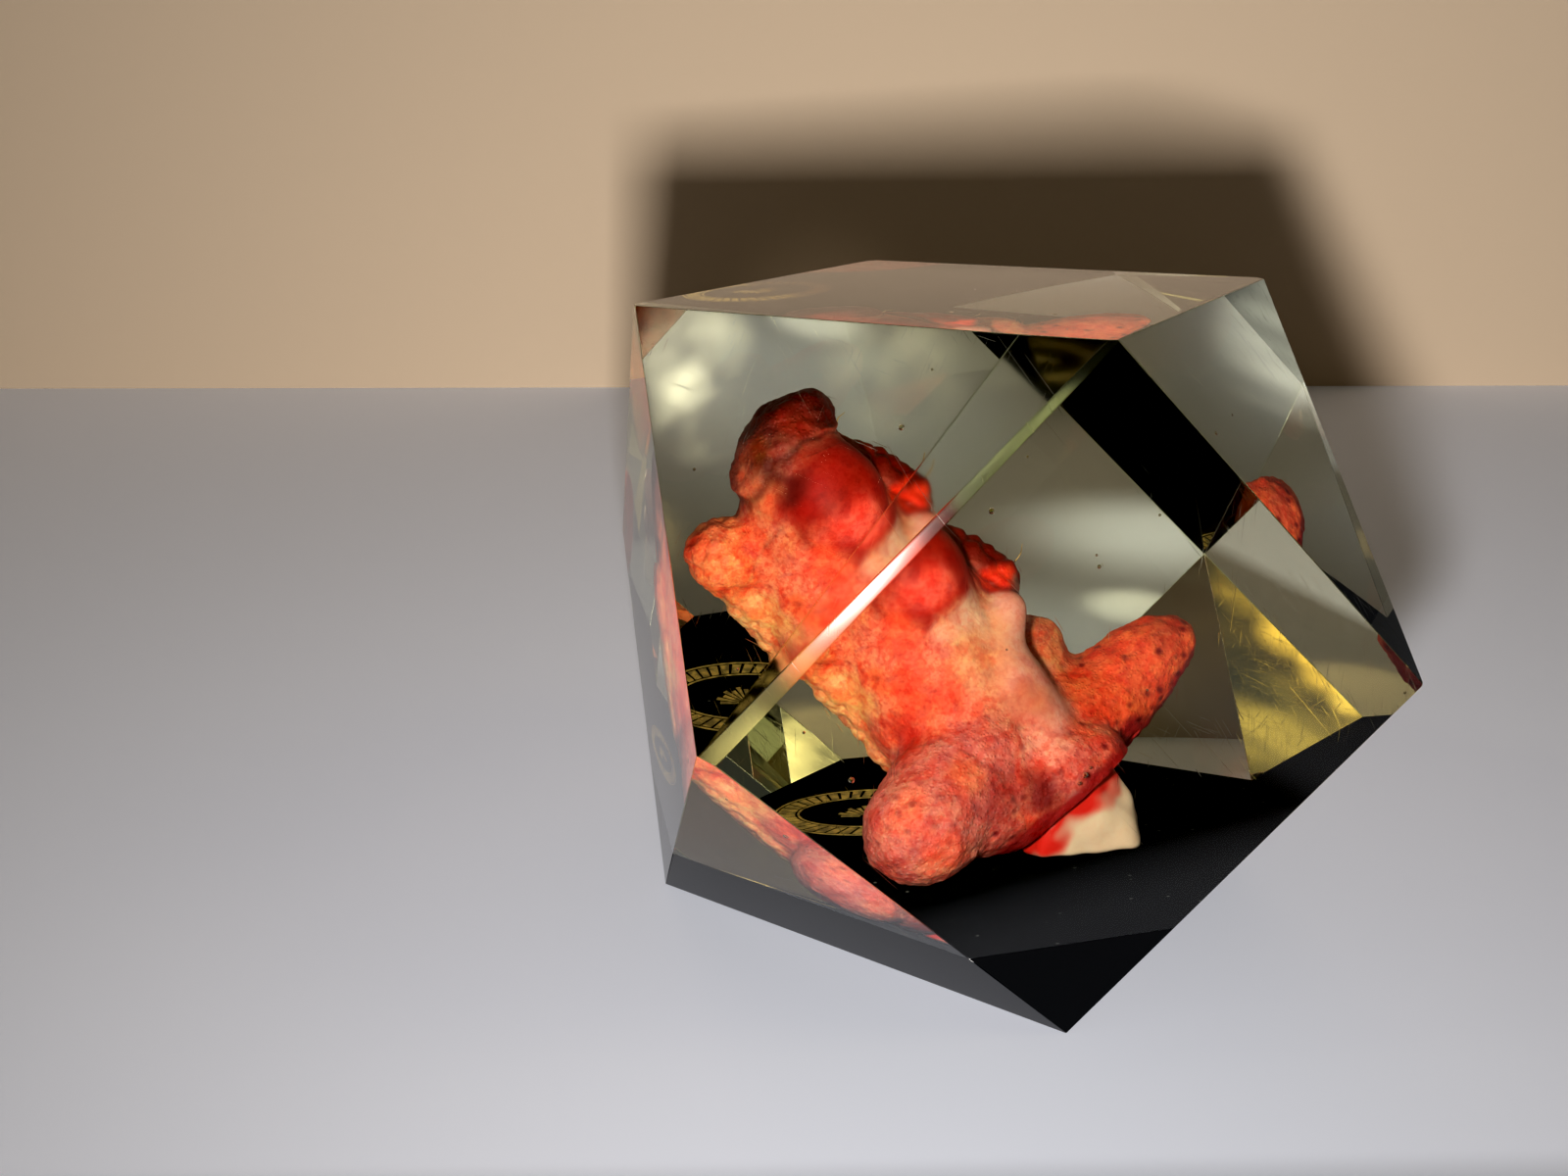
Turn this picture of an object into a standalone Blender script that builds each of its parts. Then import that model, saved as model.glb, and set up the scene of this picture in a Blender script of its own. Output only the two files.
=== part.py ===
"""A branching piece of red coral cast in a faceted block of clear resin, on a black resin base layer.

Metres, +Z up. The origin is the middle of the underside. The block is a cube with its eight corners cut
off to the middles of its edges. The front of the block faces -Y.
"""

import math

import bmesh
import bpy
from mathutils import Matrix, Vector, noise

# Block
WIDTH = 0.0640
DEPTH = 0.0640
HEIGHT = 0.0628
CORNER_REACH = 0.0640
LOW_CORNER_REACH = 0.0627
BASE_THICKNESS = 0.0098
GAP = 0.0003

# Foil label in the top of the base layer
LABEL_LENGTH = 0.0210
LABEL_WIDTH = 0.0150
LABEL_THICKNESS = 0.0004
LABEL_PLACE = (-0.0105, 0.0125)
LABEL_TURN = math.radians(-14.0)
LABEL_SIDES = 40

# Coral surface and the pocket around it
CORAL_VOXEL = 0.00055
CORAL_SMOOTHING = 4
CORAL_FACES = 6000
POCKET_CLEARANCE = 0.0012
POCKET_VOXEL = 0.0016
POCKET_FACES = 800
LIMB_STEP = 0.0008
MM = 0.001

# Each limb is a chain of stations: x, y, z from the middle of the block, then the radius, in millimetres
TRUNK = (
    (-12.0, 1.4, 9.6, 5.6),
    (-9.6, 1.2, 4.4, 7.2),
    (-7.2, 0.9, -1.2, 8.2),
    (-4.4, -0.4, -7.0, 8.3),
    (-1.2, -3.0, -11.6, 7.6),
    (0.8, -6.2, -14.8, 6.2),
)
BULB = ((-10.6, -1.6, 9.4, 4.7), (-9.4, -2.0, 7.4, 5.5), (-8.0, -1.8, 5.6, 5.0))
NECK = ((0.4, -0.8, 2.8, 2.4), (-1.6, -1.6, -1.2, 4.1), (0.0, -2.8, -6.4, 5.4), (2.6, -3.8, -10.4, 5.4))
BACK_RIDGE = ((-9.0, 3.4, 10.2, 2.4), (-5.6, 3.0, 8.4, 2.3), (-2.4, 2.8, 7.0, 2.2), (0.5, 2.4, 5.2, 1.9))
LEFT_SWELL = (
    (-16.6, 1.6, -1.0, 3.0),
    (-14.4, 2.0, -3.6, 3.3),
    (-11.6, 2.2, -6.4, 3.6),
    (-8.4, 1.0, -10.4, 3.9),
)
TOP_KNOB = ((-13.4, 1.8, 10.0, 4.7), (-12.4, 2.4, 12.4, 4.3), (-11.0, 2.8, 14.4, 2.9))
LEFT_KNOB = ((-14.4, 1.7, 0.8, 3.8), (-18.2, 1.6, 1.4, 3.9), (-20.3, 1.6, 2.3, 2.7), (-22.0, 1.6, 2.8, 1.2))
SMALL_BUMP = ((2.8, 2.0, -7.6, 4.4), (4.4, 4.4, -4.4, 4.2), (4.8, 5.4, -2.9, 3.7))
FINGER = (
    (3.4, -0.6, -11.2, 6.4),
    (9.0, 1.4, -10.0, 5.9),
    (13.8, 3.0, -6.8, 5.0),
    (16.8, 3.6, -4.2, 4.2),
    (18.5, 3.8, -3.3, 3.4),
)
LOWER_LOBE = ((-3.4, -5.6, -11.0, 6.4), (-7.4, -9.0, -13.8, 6.1), (-9.4, -10.9, -15.6, 6.0))
STUMP = ((-3.2, -7.4, -14.6, 6.1), (1.0, -5.6, -13.2, 6.0), (5.0, -6.2, -13.4, 5.6), (8.0, -6.0, -12.8, 4.6))
RIND_LIMBS = (
    TRUNK, BULB, NECK, BACK_RIDGE, LEFT_SWELL, TOP_KNOB, LEFT_KNOB, SMALL_BUMP, FINGER, LOWER_LOBE, STUMP,
)
CORAL_FLOOR = -21.0

# The stump is broken off on a flat face: a point on it, the way it faces, and its reach
BREAK = ((5.8, -8.4, -15.8), (0.62, -0.25, -0.74), 10.0)

# White core that stands out of the break: corners from the middle of the block, in millimetres
CORE_CORNERS = (
    (0.8, -6.6, -21.0), (2.6, -10.0, -21.0), (13.2, -10.4, -21.0), (13.9, -6.8, -21.0), (9.6, -3.6, -21.0),
    (3.0, -10.0, -17.6), (12.9, -9.2, -18.4), (13.6, -6.6, -18.4), (7.0, -3.0, -16.0),
    (7.4, -9.4, -13.4), (10.6, -6.0, -12.4), (12.6, -7.0, -15.2), (8.6, -4.2, -12.8),
)
CORE_BEVEL = 0.0006

# Forks: where a branch leaves the trunk, the direction it leaves in, and how far the cut reaches sideways
FORKS = {
    "coral_top_knob": ((-11.6, 2.0, 10.9), (-0.22, 0.42, 0.88), 8.0),
    "coral_left_knob": ((-17.0, 1.6, 0.9), (-0.92, 0.00, 0.39), 6.0),
    "coral_small_bump": ((4.6, 3.8, -4.8), (0.30, 0.50, 0.81), 4.6),
    "coral_finger": ((7.8, 1.4, -9.8), (0.86, 0.12, 0.50), 9.0),
    "coral_lower_lobe": ((-5.8, -9.0, -13.2), (-0.55, -0.76, -0.34), 8.0),
}
FORK_LENGTH = 20.0

# Lumps and pits of the rind
LUMP_SIZE = 0.0030
LUMP_HEIGHT = 0.00045
GRAIN_SIZE = 0.0015
GRAIN_HEIGHT = 0.00028
PIT_SPACING = 0.0034
PIT_RADIUS = 0.0007
PIT_DEPTH = 0.00045

# Colours
RESIN_COLOUR = (0.86, 0.85, 0.70, 1.0)
BASE_COLOUR = (0.006, 0.006, 0.008, 1.0)
FOIL_COLOUR = (0.80, 0.60, 0.24, 1.0)
RIND_COLOUR = (0.78, 0.16, 0.08, 1.0)
KNOB_COLOUR = (0.36, 0.05, 0.02, 1.0)
BUMP_COLOUR = (0.42, 0.15, 0.08, 1.0)
LOBE_COLOUR = (0.85, 0.24, 0.14, 1.0)
CORE_COLOUR = (0.85, 0.78, 0.66, 1.0)


def clear_scene():
    for thing in list(bpy.data.objects):
        bpy.data.objects.remove(thing, do_unlink=True)


def material(name, colour, roughness, metallic=0.0, transmission=0.0):
    made = bpy.data.materials.new(name)
    made.use_nodes = True
    shader = made.node_tree.nodes["Principled BSDF"]
    shader.inputs["Base Color"].default_value = colour
    shader.inputs["Roughness"].default_value = roughness
    shader.inputs["Metallic"].default_value = metallic
    shader.inputs["Transmission Weight"].default_value = transmission
    return made


def object_from(form, name, finish=None):
    mesh = bpy.data.meshes.new(name)
    form.to_mesh(mesh)
    form.free()
    made = bpy.data.objects.new(name, mesh)
    bpy.context.scene.collection.objects.link(made)
    if finish:
        mesh.materials.append(finish)
    return made


def evaluated(thing):
    """A mesh of the object with its modifiers applied."""
    graph = bpy.context.evaluated_depsgraph_get()
    return bpy.data.meshes.new_from_object(thing.evaluated_get(graph))


def apply_modifiers(thing):
    mesh = evaluated(thing)
    thing.modifiers.clear()
    thing.data = mesh
    return thing


def boolean(thing, cutter, operation):
    cut = thing.modifiers.new("cut", "BOOLEAN")
    cut.operation = operation
    cut.solver = "EXACT"
    cut.object = cutter
    apply_modifiers(thing)


def drop(thing):
    bpy.data.objects.remove(thing, do_unlink=True)


def middle():
    return Vector((0, 0, HEIGHT / 2))


def place(x, y, z):
    """A point given in millimetres from the middle of the block."""
    return middle() + Vector((x, y, z)) * MM


# Block shape

def keep_below(form, point, normal):
    """Cuts a convex form by a plane, drops what lies beyond it and closes the cut."""
    everything = form.verts[:] + form.edges[:] + form.faces[:]
    cut = bmesh.ops.bisect_plane(
        form, geom=everything, plane_co=point, plane_no=normal, clear_outer=True, dist=1e-7)
    rim = [part for part in cut["geom_cut"] if isinstance(part, bmesh.types.BMEdge)]
    if rim:
        bmesh.ops.contextual_create(form, geom=rim)


def faceted_block(low, high):
    """The part of the block between two heights, as a closed form."""
    form = bmesh.new()
    size = Matrix.Diagonal((WIDTH, DEPTH, high - low, 1.0))
    bmesh.ops.create_cube(form, size=1.0, matrix=Matrix.Translation((0, 0, (low + high) / 2)) @ size)
    for sx in (-1, 1):
        for sy in (-1, 1):
            for sz in (-1, 1):
                normal = Vector((sx, sy, sz)).normalized()
                reach = LOW_CORNER_REACH if (sx, sy, sz) == (-1, -1, -1) else CORNER_REACH
                keep_below(form, middle() + normal * reach / math.sqrt(3), normal)
    bmesh.ops.recalc_face_normals(form, faces=form.faces)
    return form


# Coral shape

def catmull(before, start, end, after, t):
    return 0.5 * (
        2 * start
        + (end - before) * t
        + (2 * before - 5 * start + 4 * end - after) * t * t
        + (3 * start - before - 3 * end + after) * t * t * t
    )


def add_limb(form, stations, growth):
    """A smooth limb: balls close together along a curve through the stations."""
    knots = [Vector(station) for station in stations]
    knots = [knots[0]] + knots + [knots[-1]]
    for before, start, end, after in zip(knots, knots[1:], knots[2:], knots[3:]):
        steps = max(1, round((end - start).length * MM / LIMB_STEP))
        for step in range(steps + 1):
            x, y, z, radius = catmull(before, start, end, after, step / steps)
            ball = Matrix.Translation(place(x, y, z))
            bmesh.ops.create_icosphere(form, subdivisions=2, radius=radius * MM + growth, matrix=ball)


def melt(thing, voxel, smoothing):
    """Joins overlapping balls into one skin and softens the creases between them."""
    skin = thing.modifiers.new("skin", "REMESH")
    skin.mode = "VOXEL"
    skin.voxel_size = voxel
    apply_modifiers(thing)
    soften = thing.modifiers.new("soften", "SMOOTH")
    soften.factor = 0.5
    soften.iterations = smoothing
    apply_modifiers(thing)


def thin_out(thing, faces):
    thing.data.calc_loop_triangles()
    thin = thing.modifiers.new("thin", "DECIMATE")
    thin.ratio = min(1.0, faces / len(thing.data.loop_triangles))
    thin.use_collapse_triangulate = True
    apply_modifiers(thing)


def smoothness(point):
    """1 on the glossy bulb and the bare neck, 0 on the rough rind."""
    bare = 0.0
    for stations in (BULB, NECK):
        for x, y, z, radius in stations:
            near = (point - place(x, y - 0.5 * radius, z)).length / (radius * MM)
            bare = max(bare, min(1.0, max(0.0, 1.5 - near)))
    return bare


def rind_height(point):
    """How far the rind stands out of the plain limbs at a point."""
    lump = noise.noise(point / LUMP_SIZE) * LUMP_HEIGHT
    distances, _ = noise.voronoi(point / GRAIN_SIZE)
    grain = (0.45 - distances[0]) * GRAIN_HEIGHT
    distances, _ = noise.voronoi(point / PIT_SPACING + Vector((7.3, 1.9, 4.4)))
    pit = max(0.0, 1.0 - distances[0] * PIT_SPACING / PIT_RADIUS) * PIT_DEPTH
    return lump + (grain - pit) * (1.0 - smoothness(point))


def roughen(thing):
    moves = [(vertex, vertex.normal * rind_height(vertex.co)) for vertex in thing.data.vertices]
    floor = place(0, 0, CORAL_FLOOR).z
    for vertex, move in moves:
        vertex.co += move
        vertex.co.z = max(vertex.co.z, floor)


def coral_form():
    form = bmesh.new()
    for stations in RIND_LIMBS:
        add_limb(form, stations, 0.0)
    return form


def core_form(growth):
    form = bmesh.new()
    heart = sum((place(*corner) for corner in CORE_CORNERS), Vector()) / len(CORE_CORNERS)
    for corner in CORE_CORNERS:
        point = place(*corner)
        form.verts.new(point + (point - heart).normalized() * growth)
    bmesh.ops.convex_hull(form, input=form.verts)
    loose = [vertex for vertex in form.verts if not vertex.link_faces]
    bmesh.ops.delete(form, geom=loose, context="VERTS")
    bmesh.ops.recalc_face_normals(form, faces=form.faces)
    return form


def fork_form(fork, back):
    """A box that starts at a fork and takes in the branch beyond it."""
    point, direction, reach = fork
    along = Vector(direction).normalized()
    start = place(*point) - along * back
    length = FORK_LENGTH * MM
    turn = along.to_track_quat("Z", "Y").to_matrix().to_4x4()
    size = Matrix.Diagonal((2 * reach * MM, 2 * reach * MM, length, 1.0))
    form = bmesh.new()
    bmesh.ops.create_cube(form, size=1.0, matrix=Matrix.Translation(start + along * length / 2) @ turn @ size)
    return form


def copy_of(thing, name, finish):
    twin = bpy.data.objects.new(name, thing.data.copy())
    bpy.context.scene.collection.objects.link(twin)
    twin.data.materials.clear()
    twin.data.materials.append(finish)
    return twin


def build_coral():
    rind = material("coral_rind", RIND_COLOUR, 0.62)
    finishes = {
        "coral_top_knob": material("coral_knob_dark", KNOB_COLOUR, 0.5),
        "coral_small_bump": material("coral_bump_brown", BUMP_COLOUR, 0.6),
        "coral_lower_lobe": material("coral_lobe_salmon", LOBE_COLOUR, 0.6),
    }
    whole = object_from(coral_form(), "coral_trunk", rind)
    melt(whole, CORAL_VOXEL, CORAL_SMOOTHING)
    roughen(whole)
    thin_out(whole, CORAL_FACES)

    core = object_from(core_form(0.0), "coral_white_core", material("coral_core", CORE_COLOUR, 0.45))
    edge = core.modifiers.new("edge", "BEVEL")
    edge.width = CORE_BEVEL
    edge.segments = 2
    broken = object_from(fork_form(BREAK, GAP), "broken_off")
    boolean(whole, broken, "DIFFERENCE")
    drop(broken)
    shown = object_from(fork_form(BREAK, 0.0), "past_the_break")
    boolean(core, shown, "INTERSECT")
    drop(shown)

    for name, fork in FORKS.items():
        branch = copy_of(whole, name, finishes.get(name, rind))
        beyond = object_from(fork_form(fork, -GAP / 2), "beyond_fork")
        boolean(branch, beyond, "INTERSECT")
        drop(beyond)
        before = object_from(fork_form(fork, GAP / 2), "before_fork")
        boolean(whole, before, "DIFFERENCE")
        drop(before)


# Resin, base and label

def oval_form(length, width, low, high):
    form = bmesh.new()
    turn = Matrix.Rotation(LABEL_TURN, 4, "Z")
    size = Matrix.Diagonal((length / 2, width / 2, 1.0, 1.0))
    where = Matrix.Translation((LABEL_PLACE[0], LABEL_PLACE[1], (low + high) / 2))
    bmesh.ops.create_cone(
        form, cap_ends=True, segments=LABEL_SIDES, radius1=1.0, radius2=1.0, depth=high - low,
        matrix=where @ turn @ size,
    )
    return form


def build_base():
    black = material("black_resin", BASE_COLOUR, 0.12)
    base = object_from(faceted_block(0.0, BASE_THICKNESS), "black_base", black)
    bed = BASE_THICKNESS - LABEL_THICKNESS - GAP
    recess = object_from(
        oval_form(LABEL_LENGTH + 2 * GAP, LABEL_WIDTH + 2 * GAP, bed, BASE_THICKNESS + GAP), "label_recess")
    boolean(base, recess, "DIFFERENCE")
    drop(recess)
    foil = material("gold_foil", FOIL_COLOUR, 0.3, metallic=1.0)
    object_from(oval_form(LABEL_LENGTH, LABEL_WIDTH, bed + GAP, BASE_THICKNESS), "gold_label", foil)


def build_pocket():
    form = bmesh.new()
    for stations in RIND_LIMBS:
        add_limb(form, stations, POCKET_CLEARANCE)
    pocket = object_from(form, "coral_pocket")
    melt(pocket, POCKET_VOXEL, 1)
    core_room = object_from(core_form(POCKET_CLEARANCE), "core_room")
    boolean(pocket, core_room, "UNION")
    drop(core_room)
    thin_out(pocket, POCKET_FACES)
    return pocket


def build_resin():
    pocket = build_pocket()
    finish = material("clear_resin", RESIN_COLOUR, 0.03, transmission=1.0)
    parting = HEIGHT / 2
    for name, low, high in (
        ("resin_lower", BASE_THICKNESS + GAP, parting - GAP / 2),
        ("resin_upper", parting + GAP / 2, HEIGHT),
    ):
        half = object_from(faceted_block(low, high), name, finish)
        boolean(half, pocket, "DIFFERENCE")
    drop(pocket)


clear_scene()
build_coral()
build_base()
build_resin()
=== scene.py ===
import math

import bmesh
import bpy
import numpy as np
from mathutils import Matrix, Vector, noise


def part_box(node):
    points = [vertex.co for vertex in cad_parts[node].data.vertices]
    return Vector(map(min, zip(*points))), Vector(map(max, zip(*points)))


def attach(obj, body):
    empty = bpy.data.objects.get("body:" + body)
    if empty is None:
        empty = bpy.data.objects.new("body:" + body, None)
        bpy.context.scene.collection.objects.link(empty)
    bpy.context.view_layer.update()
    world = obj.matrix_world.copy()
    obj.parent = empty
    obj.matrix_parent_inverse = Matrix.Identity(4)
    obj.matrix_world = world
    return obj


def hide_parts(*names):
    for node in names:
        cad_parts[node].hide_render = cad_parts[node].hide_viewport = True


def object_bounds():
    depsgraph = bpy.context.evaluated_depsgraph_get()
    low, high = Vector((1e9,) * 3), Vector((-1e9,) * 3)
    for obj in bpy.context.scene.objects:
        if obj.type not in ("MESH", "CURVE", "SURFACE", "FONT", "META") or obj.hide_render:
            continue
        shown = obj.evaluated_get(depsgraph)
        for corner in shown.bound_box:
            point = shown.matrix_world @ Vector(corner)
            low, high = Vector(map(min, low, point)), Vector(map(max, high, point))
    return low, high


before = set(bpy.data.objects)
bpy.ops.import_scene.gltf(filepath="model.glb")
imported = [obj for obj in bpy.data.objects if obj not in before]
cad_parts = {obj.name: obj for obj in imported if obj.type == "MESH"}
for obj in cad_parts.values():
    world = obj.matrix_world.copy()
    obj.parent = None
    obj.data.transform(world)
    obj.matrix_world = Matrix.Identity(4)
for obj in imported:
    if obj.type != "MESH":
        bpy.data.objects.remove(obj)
cad_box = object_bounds()
casting_low, casting_high = cad_box

# Black layer
# The first pour: black polyester resin, a little under a centimetre deep, in the same mould as the clear
# resin. The two are ground and polished together, so they share one set of facets with edges just eased.

EDGE_ROUNDING = 0.00055
SMALLEST_FACET = 0.00005
FLAT_DEPTH = 0.00036
EASED_LOW = 0.0005
EASED_HIGH = 0.0019
EASED_LEAN = 0.09
FLAT_LEAN = 0.61
SAME_WAY = 0.9999
FACET_ROUGHNESS = 0.004
EDGE_ROUGHNESS = 0.24
EASED_ROUGHNESS = 0.10
SCRATCH_DEPTH = 0.0000026
BLACK = (0.0036, 0.0040, 0.0048, 1)
DUST = (0.10, 0.10, 0.095, 1)
DUST_CELLS = 420.0
DUST_EDGE = (0.05, 0.09)

# Three sets of fine scratches: how each is turned, and how wide and how long its scratches are. What counts
# as a scratch or as haze starts at the first number of its edge and is full at the second.

SCRATCHES = (
    ((0.0, 0.0, 0.65), 0.00011, 0.006),
    ((0.6, 0.2, 1.9), 0.00009, 0.004),
    ((1.2, 0.7, 2.8), 0.00013, 0.009),
)
SCRATCH_EDGE = (0.72, 0.78)
HAZE_CLOUDS = 60.0
HAZE_EDGE = (0.50, 0.72)


def set_sockets(node, values):
    """Sets each named socket of a node to a value, or joins it to another node's socket."""
    for name, value in values.items():
        if isinstance(value, bpy.types.NodeSocket):
            node.id_data.links.new(value, node.inputs[name])
        else:
            node.inputs[name].default_value = value


def new_material(name, values):
    """A material with the sockets of its own shader set."""
    made = bpy.data.materials.new(name)
    made.use_nodes = True
    shader = made.node_tree.nodes["Principled BSDF"]
    set_sockets(shader, values)
    return made, made.node_tree, shader


def add_node(tree, kind, values, **settings):
    node = tree.nodes.new(kind)
    for name, value in settings.items():
        setattr(node, name, value)
    set_sockets(node, values)
    return node


def place_group(tree, group, **values):
    """Puts a shader node group in a material, with its named inputs set or joined."""
    return add_node(tree, "ShaderNodeGroup", values, node_tree=group)


def start_group(name, inputs, outputs):
    """An empty shader node group with its sockets made, and its two end nodes."""
    group = bpy.data.node_groups.new(name, "ShaderNodeTree")
    for label, kind, value in inputs:
        socket = group.interface.new_socket(label, in_out="INPUT", socket_type=kind)
        socket.default_value = value
    for label, kind in outputs:
        group.interface.new_socket(label, in_out="OUTPUT", socket_type=kind)
    return group, group.nodes.new("NodeGroupInput"), group.nodes.new("NodeGroupOutput")


def places_on(tree, scale):
    """Places on the object in metres, multiplied up so that one unit is a feature's size."""
    where = tree.nodes.new("ShaderNodeTexCoord")
    grown = add_node(
        tree, "ShaderNodeVectorMath", {0: where.outputs["Object"], "Scale": scale}, operation="SCALE")
    return grown.outputs["Vector"]


def stretched(tree, where, turn, sizes):
    """Places turned, and counted in features that may be longer one way than another."""
    turned = add_node(
        tree, "ShaderNodeMapping", {"Vector": where, "Rotation": turn, "Scale": sizes}, vector_type="TEXTURE")
    return turned.outputs["Vector"]


def clouds(tree, places, detail, distortion=0.0):
    """Cloudy noise from 0 to 1, with about one cloud to each unit of the places."""
    made = add_node(tree, "ShaderNodeTexNoise", {
        "Vector": places, "Scale": 1.0, "Detail": detail, "Distortion": distortion})
    return made.outputs["Fac"]


def ramp(tree, value, low, high, top=1.0, bottom=0.0, shape="LINEAR"):
    """Turns low into bottom and high into top. Beyond them it goes no further."""
    made = add_node(tree, "ShaderNodeMapRange", {
        "Value": value, "From Min": low, "From Max": high, "To Min": bottom, "To Max": top,
    }, interpolation_type=shape)
    return made.outputs["Result"]


def calculate(tree, operation, *values, use_clamp=False):
    """Arithmetic at every point, on sockets and plain numbers."""
    made = add_node(
        tree, "ShaderNodeMath", dict(enumerate(values)), operation=operation, use_clamp=use_clamp)
    return made.outputs["Value"]


def two_tones(tree, value, *stops):
    """A colour that follows a value from one stop to the next, each with its place and colour."""
    made = add_node(tree, "ShaderNodeValToRGB", {"Fac": value})
    for stop, (position, colour) in zip(made.color_ramp.elements, stops):
        stop.position = position
        stop.color = colour
    return made.outputs["Color"]


def make_handling_marks():
    """Fine straight scratches in three directions and a faint smeared haze, as on any handled casting."""
    group, given, made = start_group(
        "handling marks",
        [("Roughness", "NodeSocketFloat", 0.03), ("Haze", "NodeSocketFloat", 0.05),
         ("Scratches", "NodeSocketFloat", 0.3)],
        [("Roughness", "NodeSocketFloat"), ("Height", "NodeSocketFloat")],
    )
    where = group.nodes.new("ShaderNodeTexCoord").outputs["Object"]
    total = 0.0
    for turn, width, length in SCRATCHES:
        streaks = clouds(group, stretched(group, where, turn, (width, length, length)), detail=1.0)
        total = calculate(group, "MAXIMUM", total, ramp(group, streaks, *SCRATCH_EDGE))
    smear = ramp(group, clouds(group, places_on(group, HAZE_CLOUDS), detail=4.0), *HAZE_EDGE)
    hazy = calculate(group, "MULTIPLY_ADD", smear, given.outputs["Haze"], given.outputs["Roughness"])
    scored = calculate(group, "MULTIPLY_ADD", total, given.outputs["Scratches"], hazy, use_clamp=True)
    set_sockets(made, {"Roughness": scored, "Height": calculate(group, "SUBTRACT", 1.0, total)})
    return group


handling_marks = make_handling_marks()


def add_marks(tree, shader, roughness, haze, scratches):
    marks = place_group(tree, handling_marks, Roughness=roughness, Haze=haze, Scratches=scratches)
    bump = add_node(tree, "ShaderNodeBump", {
        "Strength": 0.6, "Distance": SCRATCH_DEPTH, "Height": marks.outputs["Height"]})
    set_sockets(shader, {"Roughness": marks.outputs["Roughness"], "Normal": bump.outputs["Normal"]})


def black_resin():
    made, tree, shader = new_material(
        "black resin", {"Base Color": BLACK, "IOR": 1.42, "Specular IOR Level": 0.17})
    add_marks(tree, shader, roughness=0.06, haze=0.06, scratches=0.15)
    return made


def bonded_black():
    """The top of the black layer, which the clear resin wets, so that it has no shine of its own."""
    made, tree, shader = new_material("bonded black", {"Roughness": 0.9, "Specular IOR Level": 0.0})
    specks = add_node(tree, "ShaderNodeTexVoronoi", {
        "Vector": places_on(tree, DUST_CELLS), "Scale": 1.0, "Randomness": 1.0})
    dust = two_tones(tree, specks.outputs["Distance"], (DUST_EDGE[0], DUST), (DUST_EDGE[1], BLACK))
    set_sockets(shader, {"Base Color": dust})
    return made


def set_down(name, data):
    """A new object in the scene, from its mesh, lamp or camera data."""
    made = bpy.data.objects.new(name, data)
    bpy.context.scene.collection.objects.link(made)
    return made


def to_object(form, name, *materials):
    mesh = bpy.data.meshes.new(name)
    form.to_mesh(mesh)
    form.free()
    for finish in materials:
        mesh.materials.append(finish)
    return set_down(name, mesh)


def slice_off(form, point, normal):
    """Grinds away what lies beyond a plane and closes the cut. Gives the new face."""
    everything = form.verts[:] + form.edges[:] + form.faces[:]
    cut = bmesh.ops.bisect_plane(
        form, geom=everything, plane_co=point, plane_no=normal, dist=1e-7, clear_outer=True)
    rim = [part for part in cut["geom_cut"] if isinstance(part, bmesh.types.BMEdge)]
    made = bmesh.ops.contextual_create(form, geom=rim)["faces"]
    bmesh.ops.recalc_face_normals(form, faces=form.faces)
    return made[0]


def ease_front_edge(form):
    """The edge between the front and the upper left facet, polished over: a narrow flat along it, and beside
    it a broader one that widens upwards and leans only a little from the facet."""
    top = Vector((0, casting_low.y, casting_high.z))
    low = Vector((casting_low.x, casting_low.y, (casting_low.z + casting_high.z) / 2))
    front = Vector((0, -1, 0))
    facet = Vector((-1, -1, 1)).normalized()
    along = (top - low).normalized()
    inward = facet.cross(along)
    if inward.x > 0:
        inward = -inward
    start = low + inward * EASED_LOW
    end = top + inward * EASED_HIGH
    tilted = facet.lerp(front, EASED_LEAN)
    across = (end - start).normalized()
    tilted = (tilted - across * tilted.dot(across)).normalized()
    slice_off(form, start, tilted)
    flat = facet.lerp(front, FLAT_LEAN).normalized()
    slice_off(form, low - flat * FLAT_DEPTH, flat)
    return tilted, flat


def whole_casting():
    """The outside of both pours as one convex form, with its flat faces whole and its edges eased."""
    form = bmesh.new()
    for node in ("black_base", "resin_lower", "resin_upper"):
        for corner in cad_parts[node].data.vertices:
            form.verts.new(corner.co)
    bmesh.ops.remove_doubles(form, verts=form.verts, dist=1e-5)
    bmesh.ops.convex_hull(form, input=form.verts)
    inner = [vertex for vertex in form.verts if not vertex.link_faces]
    bmesh.ops.delete(form, geom=inner, context="VERTS")
    bmesh.ops.dissolve_limit(form, angle_limit=math.radians(1), verts=form.verts, edges=form.edges)
    tilted, flat = ease_front_edge(form)
    bmesh.ops.bevel(
        form, geom=form.edges[:], offset=EDGE_ROUNDING, segments=2, profile=0.5,
        affect="EDGES", clamp_overlap=True)
    polish = form.faces.layers.float.new("polish")
    for face in form.faces:
        is_facet = face.calc_area() > SMALLEST_FACET
        face.smooth = not is_facet
        face[polish] = FACET_ROUGHNESS if is_facet else EDGE_ROUGHNESS
        if face.normal.dot(flat) > SAME_WAY:
            face[polish] = EDGE_ROUGHNESS
        if face.normal.dot(tilted) > SAME_WAY:
            face[polish] = EASED_ROUGHNESS
    return form


seam_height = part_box("black_base")[1].z

black_form = whole_casting()
slice_off(black_form, (0, 0, seam_height), (0, 0, 1)).material_index = 1
black_layer = to_object(black_form, "black_layer", black_resin(), bonded_black())
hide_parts("black_base")
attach(black_layer, "root")

# Gold label
# Gold foil pressed on the cured black layer before the clear resin is poured over it: an oval border of
# slanted bars between two lines, and a fan of strokes inside.

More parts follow.
